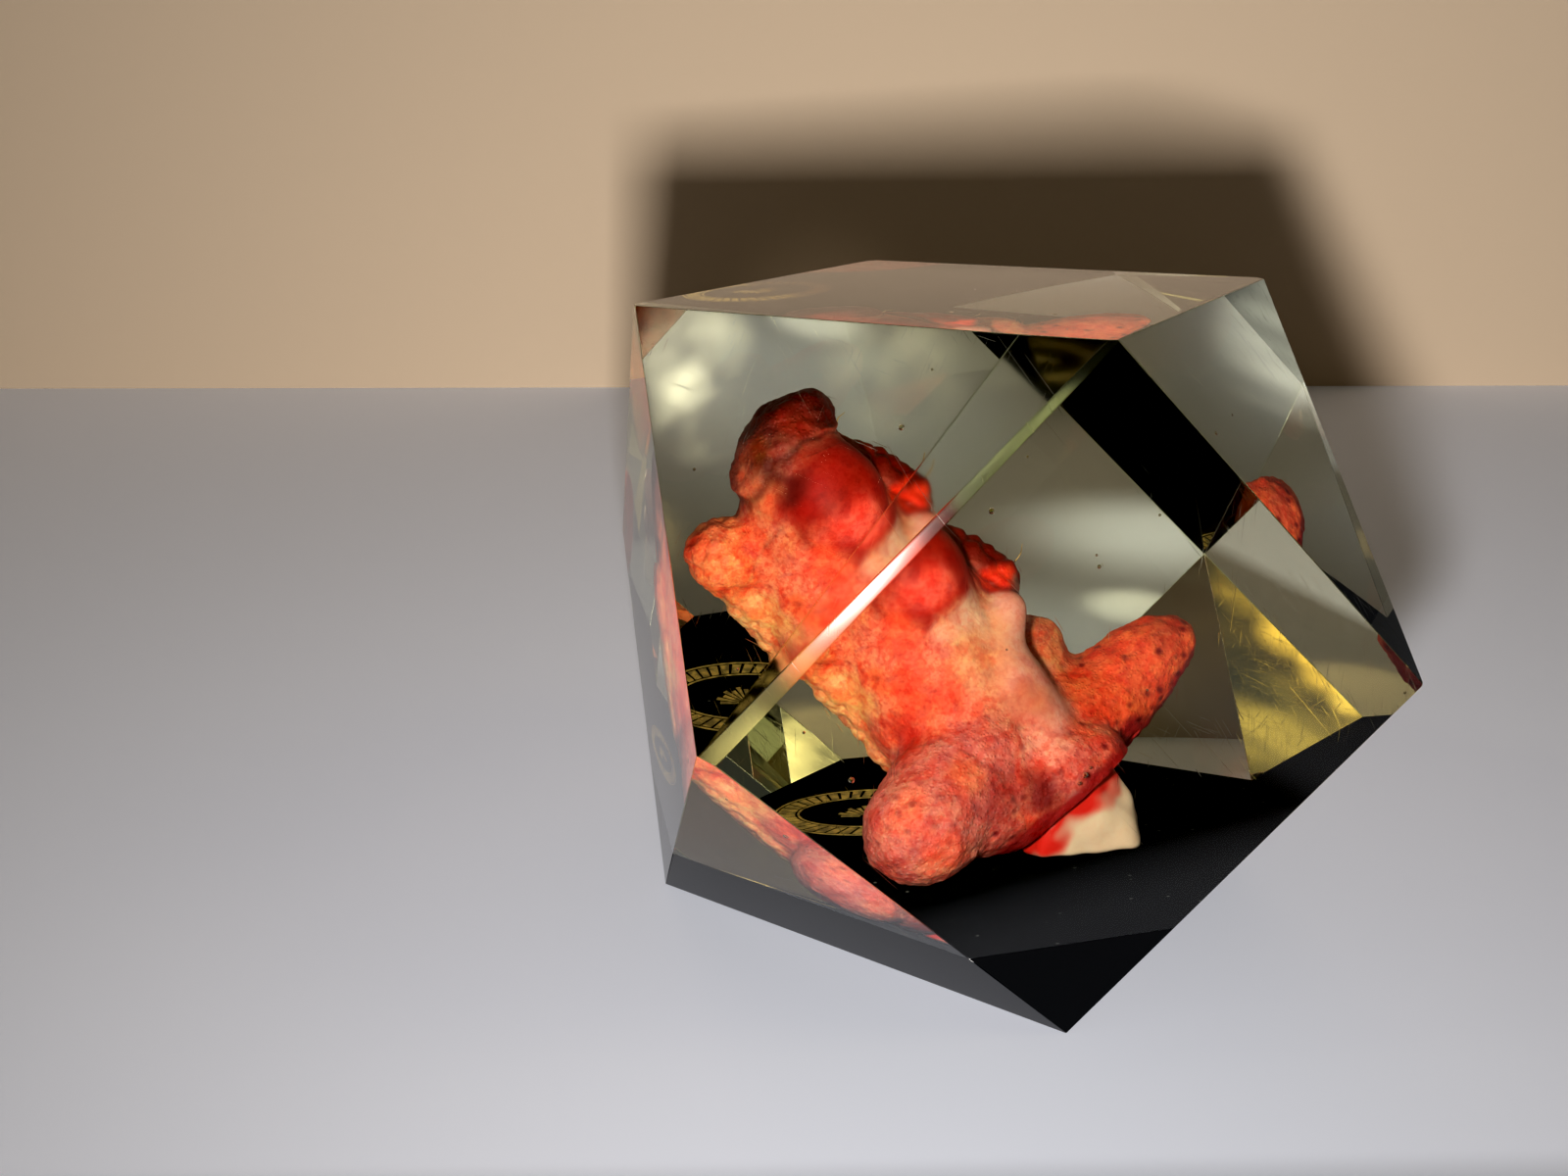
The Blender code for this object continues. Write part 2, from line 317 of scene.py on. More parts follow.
LABEL_LENGTH = 0.0210
LABEL_WIDTH = 0.0150
LABEL_TURN = math.radians(-14)
FOIL_THICKNESS = 0.00005
LINE_WIDTH = 0.00024
LINE_STEPS = 120
BORDER_DEPTH = 0.0026
BORDER_BARS = 44
BAR_FOOT = (0.0, 0.74)
BAR_TOP = (1.14, 0.40)
FAN_STROKES = 13
FAN_RADIUS = 0.0036
FAN_DROP = 0.45
STROKE_START = 0.30
STROKE_ENDS = (0.86, 1.0)
STROKE_FOOT = 0.00012
STROKE_TIP = 0.00052
GOLD = (0.74, 0.56, 0.20, 1)
GOLD_WORN = (0.30, 0.23, 0.09, 1)
WEAR_CLOUDS = 900.0


def gold_foil():
    made, tree, shader = new_material("gold foil", {"Metallic": 0.75, "Roughness": 0.42})
    worn = clouds(tree, places_on(tree, WEAR_CLOUDS), detail=5.0)
    set_sockets(shader, {"Base Color": two_tones(tree, worn, (0.38, GOLD_WORN), (0.58, GOLD))})
    return made


def on_oval(depth, turn):
    """A place on the oval that runs this deep inside the label's edge."""
    return (LABEL_LENGTH / 2 - depth) * math.cos(turn), (LABEL_WIDTH / 2 - depth) * math.sin(turn), 0


def add_line(form, inset):
    """A thin oval line, its outer edge inset from the label's own edge."""
    rings = []
    for depth in (inset, inset + LINE_WIDTH):
        turns = [2 * math.pi * step / LINE_STEPS for step in range(LINE_STEPS)]
        rings.append([form.verts.new(on_oval(depth, turn)) for turn in turns])
    for step in range(LINE_STEPS):
        following = (step + 1) % LINE_STEPS
        form.faces.new((rings[0][step], rings[0][following], rings[1][following], rings[1][step]))


def add_border_bars(form):
    """Short slanted bars between the two lines, like the turns of a rope."""
    low = LINE_WIDTH * 2.0
    high = BORDER_DEPTH - LINE_WIDTH
    for bar in range(BORDER_BARS):
        corners = [(low, shift) for shift in BAR_FOOT] + [(high, shift) for shift in BAR_TOP]
        form.faces.new([
            form.verts.new(on_oval(depth, (bar + shift) * 2 * math.pi / BORDER_BARS))
            for depth, shift in corners])


def add_fan(form):
    """A half round fan of tapered strokes, open side towards the label's front edge."""
    middle = Vector((0, -FAN_RADIUS * FAN_DROP, 0))
    for stroke in range(FAN_STROKES):
        turn = math.pi * (stroke + 0.5) / FAN_STROKES
        along = Vector((math.cos(turn), math.sin(turn), 0))
        across = Vector((-along.y, along.x, 0))
        foot = middle + along * FAN_RADIUS * STROKE_START
        tip = middle + along * FAN_RADIUS * STROKE_ENDS[stroke % 2]
        foot_side = across * STROKE_FOOT / 2
        tip_side = across * STROKE_TIP / 2
        corners = (foot - foot_side, foot + foot_side, tip + tip_side, tip - tip_side)
        form.faces.new([form.verts.new(corner) for corner in corners])


label_low, label_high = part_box("gold_label")
label_middle = (label_low + label_high) / 2
label_form = bmesh.new()
add_line(label_form, 0.0)
add_line(label_form, BORDER_DEPTH)
add_border_bars(label_form)
add_fan(label_form)
bmesh.ops.recalc_face_normals(label_form, faces=label_form.faces)
for face in label_form.faces:
    if face.normal.z < 0:
        face.normal_flip()
laid = Matrix.Translation((label_middle.x, label_middle.y, seam_height))
turned = Matrix.Rotation(LABEL_TURN, 4, "Z")
bmesh.ops.transform(label_form, matrix=laid @ turned, verts=label_form.verts)
foil_label = to_object(label_form, "foil_label", gold_foil())
thickness = foil_label.modifiers.new("foil thickness", "SOLIDIFY")
thickness.thickness = FOIL_THICKNESS
thickness.offset = 1
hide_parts("gold_label")
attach(foil_label, "root")

# Coral
# One grown piece of soft red coral, dried and trimmed: an upright stem that leans left, with a glossy red
# swelling, a pale neck and short branches. Each limb is a chain of balls, all melted into one skin that is
# cut at the forks.

MM = 0.001

# The stations of each limb, in millimetres from the middle of the block: x, y, z and the radius.

LIMBS = {
    "trunk": (
        (-12.0, 1.4, 9.6, 5.6), (-9.6, 1.2, 4.4, 7.2), (-7.2, 0.9, -1.2, 8.2), (-4.4, -0.4, -7.0, 8.3),
        (-1.2, -3.0, -11.6, 7.6), (0.8, -6.2, -14.8, 6.2),
    ),
    "bulb": ((-10.6, -1.6, 9.4, 4.7), (-9.4, -2.0, 7.4, 5.5), (-8.0, -1.8, 5.6, 5.0)),
    "neck": ((0.4, -0.8, 2.8, 2.4), (-1.6, -1.6, -1.2, 4.1), (0.0, -2.8, -6.4, 5.4), (2.6, -3.8, -10.4, 5.4)),
    "back ridge": (
        (-9.0, 3.4, 10.2, 2.4), (-5.6, 3.0, 8.4, 2.3), (-2.4, 2.8, 7.0, 2.2), (0.5, 2.4, 5.2, 1.9),
    ),
    "left swell": (
        (-16.6, 1.6, -1.0, 3.0), (-14.4, 2.0, -3.6, 3.3), (-11.6, 2.2, -6.4, 3.6), (-8.4, 1.0, -10.4, 3.9),
    ),
    "top knob": ((-13.4, 1.8, 10.0, 4.7), (-12.4, 2.4, 12.4, 4.3), (-11.0, 2.8, 14.4, 2.9)),
    "left knob": (
        (-14.4, 1.7, 0.8, 3.8), (-18.2, 1.6, 1.4, 3.9), (-20.3, 1.6, 2.3, 2.7), (-22.0, 1.6, 2.8, 1.2),
    ),
    "small bump": ((2.8, 2.0, -7.6, 4.4), (4.4, 4.4, -4.4, 4.2), (4.8, 5.4, -2.9, 3.7)),
    "finger": (
        (3.4, -0.6, -11.2, 6.4), (9.0, 1.4, -10.0, 5.9), (13.8, 3.0, -6.8, 5.0), (16.8, 3.6, -4.2, 4.2),
        (18.5, 3.8, -3.3, 3.4),
    ),
    "lower lobe": ((-3.4, -5.6, -11.0, 6.4), (-7.4, -9.0, -13.8, 6.1), (-9.4, -10.9, -15.6, 6.0)),
    "stump": (
        (-3.2, -7.4, -14.6, 6.1), (1.0, -5.6, -13.2, 6.0), (5.0, -6.2, -13.4, 5.6), (8.0, -6.0, -12.8, 4.6),
    ),
}
BALL_STEP = 0.7
BLEND_VOXEL = 0.00055
BLEND_SMOOTHING = 10
SKIN_VOXEL = 0.00022
SKIN_SMOOTHING = 3
CORAL_FLOOR = -21.0

block_middle = (casting_low + casting_high) / 2


def place(x, y, z):
    """A point given in millimetres from the middle of the block."""
    return block_middle + Vector((x, y, z)) * MM


def along_limb(stations):
    """Balls close together on a smooth curve through a limb's stations."""
    knots = np.array([stations[0], *stations, stations[-1]])
    balls = []
    for before, start, end, after in zip(knots, knots[1:], knots[2:], knots[3:]):
        steps = max(1, round(float(np.linalg.norm(end[:3] - start[:3])) / BALL_STEP))
        for t in np.arange(steps + 1) / steps:
            balls.append(0.5 * (
                2 * start
                + (end - before) * t
                + (2 * before - 5 * start + 4 * end - after) * t ** 2
                + (3 * start - before - 3 * end + after) * t ** 3
            ))
    return np.array(balls)


limb_balls = {name: along_limb(stations) for name, stations in LIMBS.items()}

# What each limb's rind is like: its colour, and how much it has of red mottling, lumps, knurls, grains and
# pits, where 1 is plenty.

RIND = {
    "trunk": ((0.90, 0.250, 0.158), 1.0, 0.5, 0.1, 0.5, 0.3),
    "bulb": ((0.47, 0.020, 0.010), 1.0, 0.1, 0.0, 0.1, 0.0),
    "neck": ((0.90, 0.450, 0.370), 0.4, 0.2, 0.0, 0.1, 0.0),
    "back ridge": ((0.19, 0.006, 0.001), 0.9, 0.9, 0.9, 0.6, 0.2),
    "left swell": ((0.95, 0.480, 0.240), 0.8, 0.8, 0.8, 0.5, 0.1),
    "top knob": ((0.10, 0.004, 0.001), 0.8, 1.2, 0.2, 1.4, 0.3),
    "left knob": ((0.95, 0.270, 0.125), 0.9, 0.6, 0.6, 1.0, 0.1),
    "small bump": ((0.74, 0.240, 0.125), 0.9, 0.6, 0.1, 0.6, 0.7),
    "finger": ((0.78, 0.145, 0.060), 0.9, 0.7, 0.2, 0.9, 1.0),
    "lower lobe": ((0.76, 0.225, 0.185), 0.8, 0.6, 0.1, 1.0, 0.5),
    "stump": ((0.74, 0.185, 0.145), 1.0, 0.5, 0.0, 0.8, 1.0),
}
TRAITS = ("red", "green", "blue", "mottle", "lumps", "knurls", "grains", "pits")

# Patches of other colour: the middle in millimetres from the middle of the block, the radius, the colour,
# and how coarse and blotched the rind stays there, from 0 to 1. Most are the rind's own colour; three,
# marked below, are painted shade and painted light.

PATCHES = (
    # Painted shade: a dark maroon patch over the bulb's left side, standing for the shade there.
    ((-14.6, -3.6, 10.4), 3.2, (0.20, 0.011, 0.007), 0.8),
    # Painted light: the bulb's bright right side, standing for its lit side and the sheen over it.
    ((-8.2, -7.2, 7.4), 3.6, (0.95, 0.150, 0.110), 0.8),
    ((-11.4, -6.6, 5.6), 2.8, (0.87, 0.170, 0.110), 0.8),
    ((-16.6, -1.8, 8.8), 3.6, (0.92, 0.270, 0.130), 0.7),
    ((-3.0, -5.4, 2.4), 5.6, (0.90, 0.460, 0.290), 0.45),
    ((-3.6, -6.4, -1.2), 5.0, (0.88, 0.380, 0.230), 0.6),
    ((-0.4, 0.6, 5.3), 1.8, (0.86, 0.089, 0.023), 1.0),
    ((-9.6, -7.0, -3.6), 4.6, (0.86, 0.160, 0.080), 0.9),
    ((-9.6, -7.2, -8.0), 3.4, (0.68, 0.090, 0.060), 1.0),
    ((-12.8, -5.0, -1.6), 2.6, (0.90, 0.170, 0.070), 0.9),
    ((-14.6, -2.2, -4.6), 3.4, (0.95, 0.420, 0.190), 0.8),
    ((-10.6, -6.6, 2.6), 3.0, (0.90, 0.170, 0.085), 0.8),
    ((0.6, -7.6, -5.6), 4.4, (0.72, 0.240, 0.165), 0.8),
    ((2.4, -9.2, -8.8), 3.8, (0.96, 0.400, 0.310), 0.9),
    ((-5.6, -12.6, -10.0), 3.0, (0.80, 0.220, 0.130), 0.9),
    ((-2.6, -13.0, -12.8), 3.8, (0.50, 0.100, 0.090), 1.0),
    ((2.6, -12.0, -13.2), 3.4, (0.30, 0.034, 0.034), 1.0),
    ((5.4, -11.5, -14.3), 1.5, (0.55, 0.440, 0.420), 0.1),
    ((18.0, 1.0, -0.8), 3.4, (0.56, 0.100, 0.050), 1.0),
    # Painted light: lightens the shaded hollow under the finger.
    ((8.0, -6.4, -8.8), 3.4, (0.95, 0.250, 0.160), 1.0),
    ((-12.0, -15.6, -12.0), 3.4, (0.86, 0.230, 0.150), 1.0),
    ((-8.6, -16.6, -17.6), 3.4, (0.95, 0.280, 0.180), 1.0),
    ((-23.0, 1.0, 3.0), 1.8, (0.42, 0.027, 0.012), 1.0),
    ((-16.4, -0.2, 12.9), 2.2, (0.24, 0.046, 0.009), 1.0),
    ((-13.0, -0.2, 15.8), 2.4, (0.34, 0.030, 0.011), 1.0),
    ((3.0, -9.0, -3.2), 4.0, (0.86, 0.330, 0.190), 0.6),
    ((-0.4, 0.8, 5.6), 2.6, (0.74, 0.050, 0.014), 1.0),
    ((-4.1, -5.0, 4.2), 3.0, (0.96, 0.560, 0.420), 0.4),
    ((-6.5, -6.2, 3.4), 2.3, (0.95, 0.440, 0.300), 0.5),
)
FADE = 0.32
WOBBLE_SIZE = 0.0024
WOBBLE = 0.0011
CRUSTS = ("top knob", "back ridge")
# Painted shade under the overhanging edge of each crust: its colour factor, strength, middle and width.
CRUST_PAINTED_SHADE = (0.22, 0.16, 0.16)
CRUST_PAINTED_SHADE_SHARE = 0.85
CRUST_EDGE = 0.35
CRUST_EDGE_WIDTH = 0.22

# The break in the stump: a point on it in millimetres from the middle of the block, the way that it faces
# and how many millimetres it reaches sideways, with the blood red stain along it.

BREAK = ((5.8, -8.4, -15.8), (0.62, -0.25, -0.74), 10.0)
STAIN = (0.40, 0.020, 0.022)
STAIN_WIDTH = 0.0020


def wobbled(points):
    """The points moved about a little, so that borders drawn from them wander as grown ones do."""
    moved = np.array([
        noise.noise_vector(Vector(spot) / WOBBLE_SIZE) + noise.noise_vector(Vector(spot) / WOBBLE_SIZE / 2.3)
        for spot in points])
    return points + moved * WOBBLE


def limb_shares(points):
    """For each point, how much of each limb it belongs to. A point's shares add up to 1."""
    depths = []
    spots = (points - np.array(block_middle)) / MM
    for balls in limb_balls.values():
        depth = np.full(len(points), 1e9)
        for ball in balls:
            depth = np.minimum(depth, np.linalg.norm(spots - ball[:3], axis=1) - ball[3])
        depths.append(depth)
    depths = np.array(depths)
    shares = np.exp(-(depths - depths.min(axis=0)) / FADE)
    return dict(zip(limb_balls, shares / shares.sum(axis=0)))


def traits_of(shares):
    """The limbs' traits mixed by shares, a row of numbers for each trait."""
    values = np.array([(*RIND[name][0], *RIND[name][1:]) for name in shares])
    return dict(zip(TRAITS, values.T @ np.array(list(shares.values()))))


def smooth_step(value):
    value = np.clip(value, 0.0, 1.0)
    return value * value * (3 - 2 * value)


def patch_share(points, middle, radius):
    reach = np.linalg.norm(points - np.array(place(*middle)), axis=1) / (radius * MM)
    return smooth_step((1.0 - reach) * 1.4)


def coarseness(points):
    """How coarse the rind is after the smoother patches, from 0 to 1."""
    coarse = np.ones(len(points))
    for middle, radius, _, patch_coarse in PATCHES:
        share = patch_share(points, middle, radius)
        coarse = coarse * (1 - share) + patch_coarse * share
    return coarse


def crust_rise(shares):
    """Where a dark crust lies over its neighbours, from 0 to 1."""
    return smooth_step(sum(shares[name] for name in CRUSTS) * 2.0 - 0.5)


def read_vertices(mesh, what):
    """The places or the normals of a mesh's vertices, a row for each."""
    flat = np.empty(len(mesh.vertices) * 3, np.float32)
    mesh.vertices.foreach_get(what, flat)
    return flat.reshape(-1, 3).astype(float)


def move_vertices(mesh, points):
    mesh.vertices.foreach_set("co", points.astype(np.float32).ravel())
    mesh.update()


def write_values(mesh, name, values):
    """Writes a number on each vertex, for a material to read."""
    made = mesh.attributes.new(name, "FLOAT", "POINT")
    made.data.foreach_set("value", values.astype(np.float32))


LUMP_SIZE = 0.0024
LUMP_HEIGHT = 0.00036
KNURL_SIZE = 0.0017
KNURL_HEIGHT = 0.0010
GRAIN_SIZE = 0.00075
GRAIN_HEIGHT = 0.00012
CRUST_HEIGHT = 0.00042


def relief(points, shares):
    """How far the rind stands out at each point, in metres."""
    traits = traits_of(shares)
    made = np.empty((len(points), 3))
    for row, spot in enumerate(points):
        spot = Vector(spot)
        lump = noise.noise(spot / LUMP_SIZE) + 0.45 * noise.noise(spot / LUMP_SIZE * 2.3)
        knurl = noise.voronoi(spot / KNURL_SIZE)[0][0]
        grain = noise.noise(spot / GRAIN_SIZE) + 0.5 * noise.noise(spot / GRAIN_SIZE * 2.1)
        made[row] = (lump, 0.40 - knurl * knurl, grain)
    lumps, knurls, grains = made.T
    coarse = coarseness(points)
    return (
        lumps * LUMP_HEIGHT * traits["lumps"]
        + knurls * KNURL_HEIGHT * traits["knurls"] * coarse
        + grains * GRAIN_HEIGHT * traits["grains"] * coarse
        + crust_rise(shares) * CRUST_HEIGHT
    )


def apply_modifiers(thing):
    graph = bpy.context.evaluated_depsgraph_get()
    mesh = bpy.data.meshes.new_from_object(thing.evaluated_get(graph))
    thing.modifiers.clear()
    thing.data = mesh


def melt(thing, voxel, smoothing):
    """Joins everything in a mesh as one skin and softens it."""
    skin = thing.modifiers.new("skin", "REMESH")
    skin.mode = "VOXEL"
    skin.voxel_size = voxel
    soften = thing.modifiers.new("soften", "SMOOTH")
    soften.factor = 0.5
    soften.iterations = smoothing
    apply_modifiers(thing)


def grow_coral():
    """The whole rind as one skin, before it is cut at its forks."""
    form = bmesh.new()
    for balls in limb_balls.values():
        for x, y, z, radius in balls:
            bmesh.ops.create_icosphere(
                form, subdivisions=3, radius=radius * MM, matrix=Matrix.Translation(place(x, y, z)))
    coral = to_object(form, "coral")
    melt(coral, BLEND_VOXEL, BLEND_SMOOTHING)
    melt(coral, SKIN_VOXEL, SKIN_SMOOTHING)
    points = read_vertices(coral.data, "co")
    height = relief(points, limb_shares(wobbled(points)))
    points += read_vertices(coral.data, "normal") * height[:, None]
    points[:, 2] = np.maximum(points[:, 2], place(0, 0, CORAL_FLOOR).z)
    move_vertices(coral.data, points)
    return coral


def tint(colours, colour, share):
    """Mixes a share of one colour into the colours of all points."""
    share = share[:, None]
    colours[:, :3] = colours[:, :3] * (1 - share) + np.array(colour) * share


def past_break(points):
    """How far each point lies beyond the break in the stump, in metres."""
    middle, direction, _ = BREAK
    return (points - np.array(place(*middle))) @ np.array(Vector(direction).normalized())


def paint_rind(thing):
    """Writes each point's colour, with painted shade and light, and traits on the mesh for the rind material.
    """
    points = wobbled(read_vertices(thing.data, "co"))
    shares = limb_shares(points)
    traits = traits_of(shares)
    colours = np.ones((len(points), 4), np.float32)
    for channel, name in enumerate(("red", "green", "blue")):
        colours[:, channel] = traits[name]
    for middle, radius, colour, _ in PATCHES:
        tint(colours, colour, patch_share(points, middle, radius))
    tint(colours, STAIN, smooth_step((past_break(points) / STAIN_WIDTH + 1.0) * 1.6))
    # Painted shade: a dark band where each crust overhangs its neighbours.
    crust = sum(shares[name] for name in CRUSTS)
    rim = CRUST_PAINTED_SHADE_SHARE * np.exp(-((crust - CRUST_EDGE) / CRUST_EDGE_WIDTH) ** 2)[:, None]
    colours[:, :3] *= 1 - rim * (1 - np.array(CRUST_PAINTED_SHADE))
    made = thing.data.attributes.new("rind", "FLOAT_COLOR", "POINT")
    made.data.foreach_set("color", colours.ravel())
    coarse = coarseness(points)
    for name in ("mottle", "grains", "pits"):
        write_values(thing.data, name, traits[name] * coarse)


# The blotches of the rind: how many to the metre, where each starts and is full, how strong it is, and what
# it multiplies the colour by.

BLOTCHES = (
    (230.0, 0.47, 0.60, 0.55, (1.06, 1.30, 1.10)),
    (340.0, 0.48, 0.61, 0.80, (0.97, 0.52, 0.44)),
    (500.0, 0.53, 0.63, 0.60, (0.74, 0.52, 0.66)),
    (900.0, 0.51, 0.63, 0.55, (1.07, 1.42, 1.25)),
    (1300.0, 0.50, 0.61, 0.70, (0.93, 0.52, 0.47)),
    (2500.0, 0.50, 0.62, 0.60, (0.84, 0.52, 0.50)),
)


def blend(tree, share, colour, other, way="MULTIPLY"):
    """Brings a share of another colour into a colour."""
    made = add_node(
        tree, "ShaderNodeMix", {"Factor": share, "A": colour, "B": other}, data_type="RGBA", blend_type=way)
    return made.outputs["Result"]


def make_mottle():
    """Watery blotches of redder and of paler tones at six sizes, as in the pigment of the rind."""
    group, given, made = start_group(
        "mottle",
        [("Color", "NodeSocketColor", (0.8, 0.2, 0.1, 1)), ("Amount", "NodeSocketFloat", 0.5)],
        [("Color", "NodeSocketColor")],
    )
    colour = given.outputs["Color"]
    for number, low, high, strength, tone in BLOTCHES:
        cloud = clouds(group, places_on(group, number), detail=2.5, distortion=0.4)
        edge = ramp(group, cloud, low, high, top=strength, shape="SMOOTHSTEP")
        share = calculate(group, "MULTIPLY", edge, given.outputs["Amount"])
        colour = blend(group, share, colour, (*tone, 1))
    set_sockets(made, {"Color": colour})
    return group


mottle = make_mottle()


def read_point(tree, name, output="Fac"):
    return add_node(tree, "ShaderNodeAttribute", {}, attribute_name=name).outputs[output]


PIT_SPACING = 0.0017
PIT_SQUASH = 0.75
PIT_EDGE = (0.42, 0.063)
PITS_CHOSEN = (0.35, 0.55)
PIT_TONE = (0.36, 0.10, 0.18, 1)
GRIT_SIZE = 0.00042
GRIT_EDGE = (0.55, 0.05)
GRIT_SHARE = 0.30
GRIT_TONE = (1.15, 1.7, 1.8, 1)
BUMP_HEIGHT = 0.00006


def cells(tree, size, squash):
    """Scattered cells, squashed upwards. The node gives the distance to a cell's middle and the cell's own
    colour."""
    where = tree.nodes.new("ShaderNodeTexCoord").outputs["Object"]
    places = stretched(tree, where, (0.3, 0.5, 0.2), (size, size, size * squash))
    return add_node(tree, "ShaderNodeTexVoronoi", {"Vector": places, "Scale": 1.0})


def coral_rind():
    """Dried rind, wetted by the resin: mottled, with dark pits and pale grit, and hardly any shine."""
    made, tree, shader = new_material("coral rind", {
        "Roughness": 0.55,
        "Specular IOR Level": 0.2,
        "Subsurface Weight": 0.45,
        "Subsurface Radius": (1.0, 0.35, 0.2),
        "Subsurface Scale": 0.0010,
    })
    skin = place_group(
        tree, mottle, Color=read_point(tree, "rind", "Color"), Amount=read_point(tree, "mottle"))

    grit = ramp(tree, cells(tree, GRIT_SIZE, 1.0).outputs["Distance"], *GRIT_EDGE, shape="SMOOTHSTEP")
    gritty = calculate(tree, "MULTIPLY", grit, read_point(tree, "grains"))
    pale = calculate(tree, "MULTIPLY", gritty, GRIT_SHARE)
    crest = blend(tree, pale, skin.outputs["Color"], GRIT_TONE)

    scattered = cells(tree, PIT_SPACING, PIT_SQUASH)
    pit = ramp(tree, scattered.outputs["Distance"], *PIT_EDGE, shape="SMOOTHSTEP")
    chosen = ramp(tree, scattered.outputs["Color"], *PITS_CHOSEN)
    open_pit = calculate(tree, "MULTIPLY", pit, chosen)
    pitted = calculate(tree, "MULTIPLY", open_pit, read_point(tree, "pits"))

    raised = calculate(tree, "SUBTRACT", gritty, pitted)
    bump = add_node(tree, "ShaderNodeBump", {"Strength": 1.0, "Distance": BUMP_HEIGHT, "Height": raised})
    hollow = blend(tree, pitted, crest, PIT_TONE)
    set_sockets(shader, {"Base Color": hollow, "Normal": bump.outputs["Normal"]})
    return made


rind_material = coral_rind()

# Forks
# Where each branch leaves the trunk: a point, the direction that it leaves in, and how far the cut reaches
# sideways, in millimetres. The real coral has no cut there, so the two sides meet with no gap.

FORKS = {
    "top_knob": ((-11.6, 2.0, 10.9), (-0.22, 0.42, 0.88), 8.0),
    "left_knob": ((-17.0, 1.6, 0.9), (-0.92, 0.00, 0.39), 6.0),
    "small_bump": ((4.6, 3.8, -4.8), (0.30, 0.50, 0.81), 4.6),
    "finger": ((7.8, 1.4, -9.8), (0.86, 0.12, 0.50), 9.0),
    "lower_lobe": ((-5.8, -9.0, -13.2), (-0.55, -0.76, -0.34), 8.0),
}
CUT_LENGTH = 20.0


def cut_with_box(thing, fork, operation):
    """Takes from a piece, or keeps of it, what lies beyond a fork."""
    point, direction, reach = fork
    along = Vector(direction).normalized()
    length = CUT_LENGTH * MM
    turn = along.to_track_quat("Z", "Y").to_matrix().to_4x4()
    size = Matrix.Diagonal((2 * reach * MM, 2 * reach * MM, length, 1.0))
    form = bmesh.new()
    bmesh.ops.create_cube(
        form, size=1.0, matrix=Matrix.Translation(place(*point) + along * length / 2) @ turn @ size)
    box = to_object(form, "beyond fork")
    cut = thing.modifiers.new("cut", "BOOLEAN")
    cut.operation = operation
    cut.solver = "EXACT"
    cut.object = box
    apply_modifiers(thing)
    bpy.data.objects.remove(box, do_unlink=True)


def finish_branch(thing, node):
    thing.data.materials.clear()
    thing.data.materials.append(rind_material)
    thing.data.shade_smooth()
    thing.data.set_sharp_from_angle(angle=math.radians(55))
    paint_rind(thing)
    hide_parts(node)
    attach(thing, "root")


coral = grow_coral()
cut_with_box(coral, BREAK, "DIFFERENCE")
for branch_name, fork in FORKS.items():
    branch = set_down(branch_name + "_rind", coral.data.copy())
    cut_with_box(branch, fork, "INTERSECT")
    cut_with_box(coral, fork, "DIFFERENCE")
    finish_branch(branch, "coral_" + branch_name)
coral.name = "trunk_rind"
finish_branch(coral, "coral_trunk")

# White core
# The limy skeleton inside the stump, bared where the coral was broken off: dense, creamy and smooth, with
# a smear of red rind along the break.

CORE_VOXEL = 0.0002
CORE_SMOOTHING = 6
CREAM = (0.68, 0.53, 0.41, 1)
SMEAR = (0.66, 0.030, 0.020, 1)
SMEAR_WIDTH = 0.0021
WAVE_SIZE = 0.0019
WAVE_HEIGHT = 0.00016


def core_material():
    made, tree, shader = new_material("white core", {
        "Roughness": 0.4,
        "Specular IOR Level": 0.25,
        "Subsurface Weight": 0.3,
        "Subsurface Radius": (1.0, 0.7, 0.45),
        "Subsurface Scale": 0.001,
    })
    skin = place_group(tree, mottle, Color=CREAM, Amount=0.06)
    smeared = blend(tree, read_point(tree, "smear"), skin.outputs["Color"], SMEAR, "MIX")
    set_sockets(shader, {"Base Color": smeared})
    return made


def waves_at(points, size):
    """Soft waves of this size over the points, from about -1 to 1."""
    return np.array([noise.noise(Vector(spot) / size) for spot in points])


core = set_down("white_core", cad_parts["coral_white_core"].data.copy())
core.data.materials.clear()
core.data.materials.append(core_material())
melt(core, CORE_VOXEL, CORE_SMOOTHING)
core_points = read_vertices(core.data, "co")
waves = waves_at(core_points, WAVE_SIZE) * WAVE_HEIGHT
core_points += read_vertices(core.data, "normal") * waves[:, None]
move_vertices(core.data, core_points)
torn = waves_at(core_points, SMEAR_WIDTH) * SMEAR_WIDTH
write_values(core.data, "smear", smooth_step(1.5 - (past_break(core_points) + torn) / SMEAR_WIDTH))
core.data.shade_smooth()
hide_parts("coral_white_core")
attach(core, "root")

# Pale fibres
# Two short threads of dried tissue that the resin caught as they stood off the back ridge. Each is a list
# of stations along it, in millimetres from the middle of the block.

FIBRES = (
    ((-7.9, 3.0, 12.2), (-7.2, 3.0, 13.0), (-6.9, 3.1, 13.9), (-6.2, 3.2, 14.3)),
    ((1.2, 2.6, 6.4), (2.1, 2.7, 6.9), (2.8, 2.8, 7.8), (2.9, 2.8, 8.7)),
)
FIBRE_THICKNESS = 0.00011
FIBRE_SIDES = 6
FIBRE_COLOUR = (0.62, 0.42, 0.20, 1)


def fibre_material():
    made, tree, shader = new_material("pale fibre", {"Roughness": 0.5, "Specular IOR Level": 0.2})
    skin = place_group(tree, mottle, Color=FIBRE_COLOUR, Amount=0.3)
    set_sockets(shader, {"Base Color": skin.outputs["Color"]})
    return made


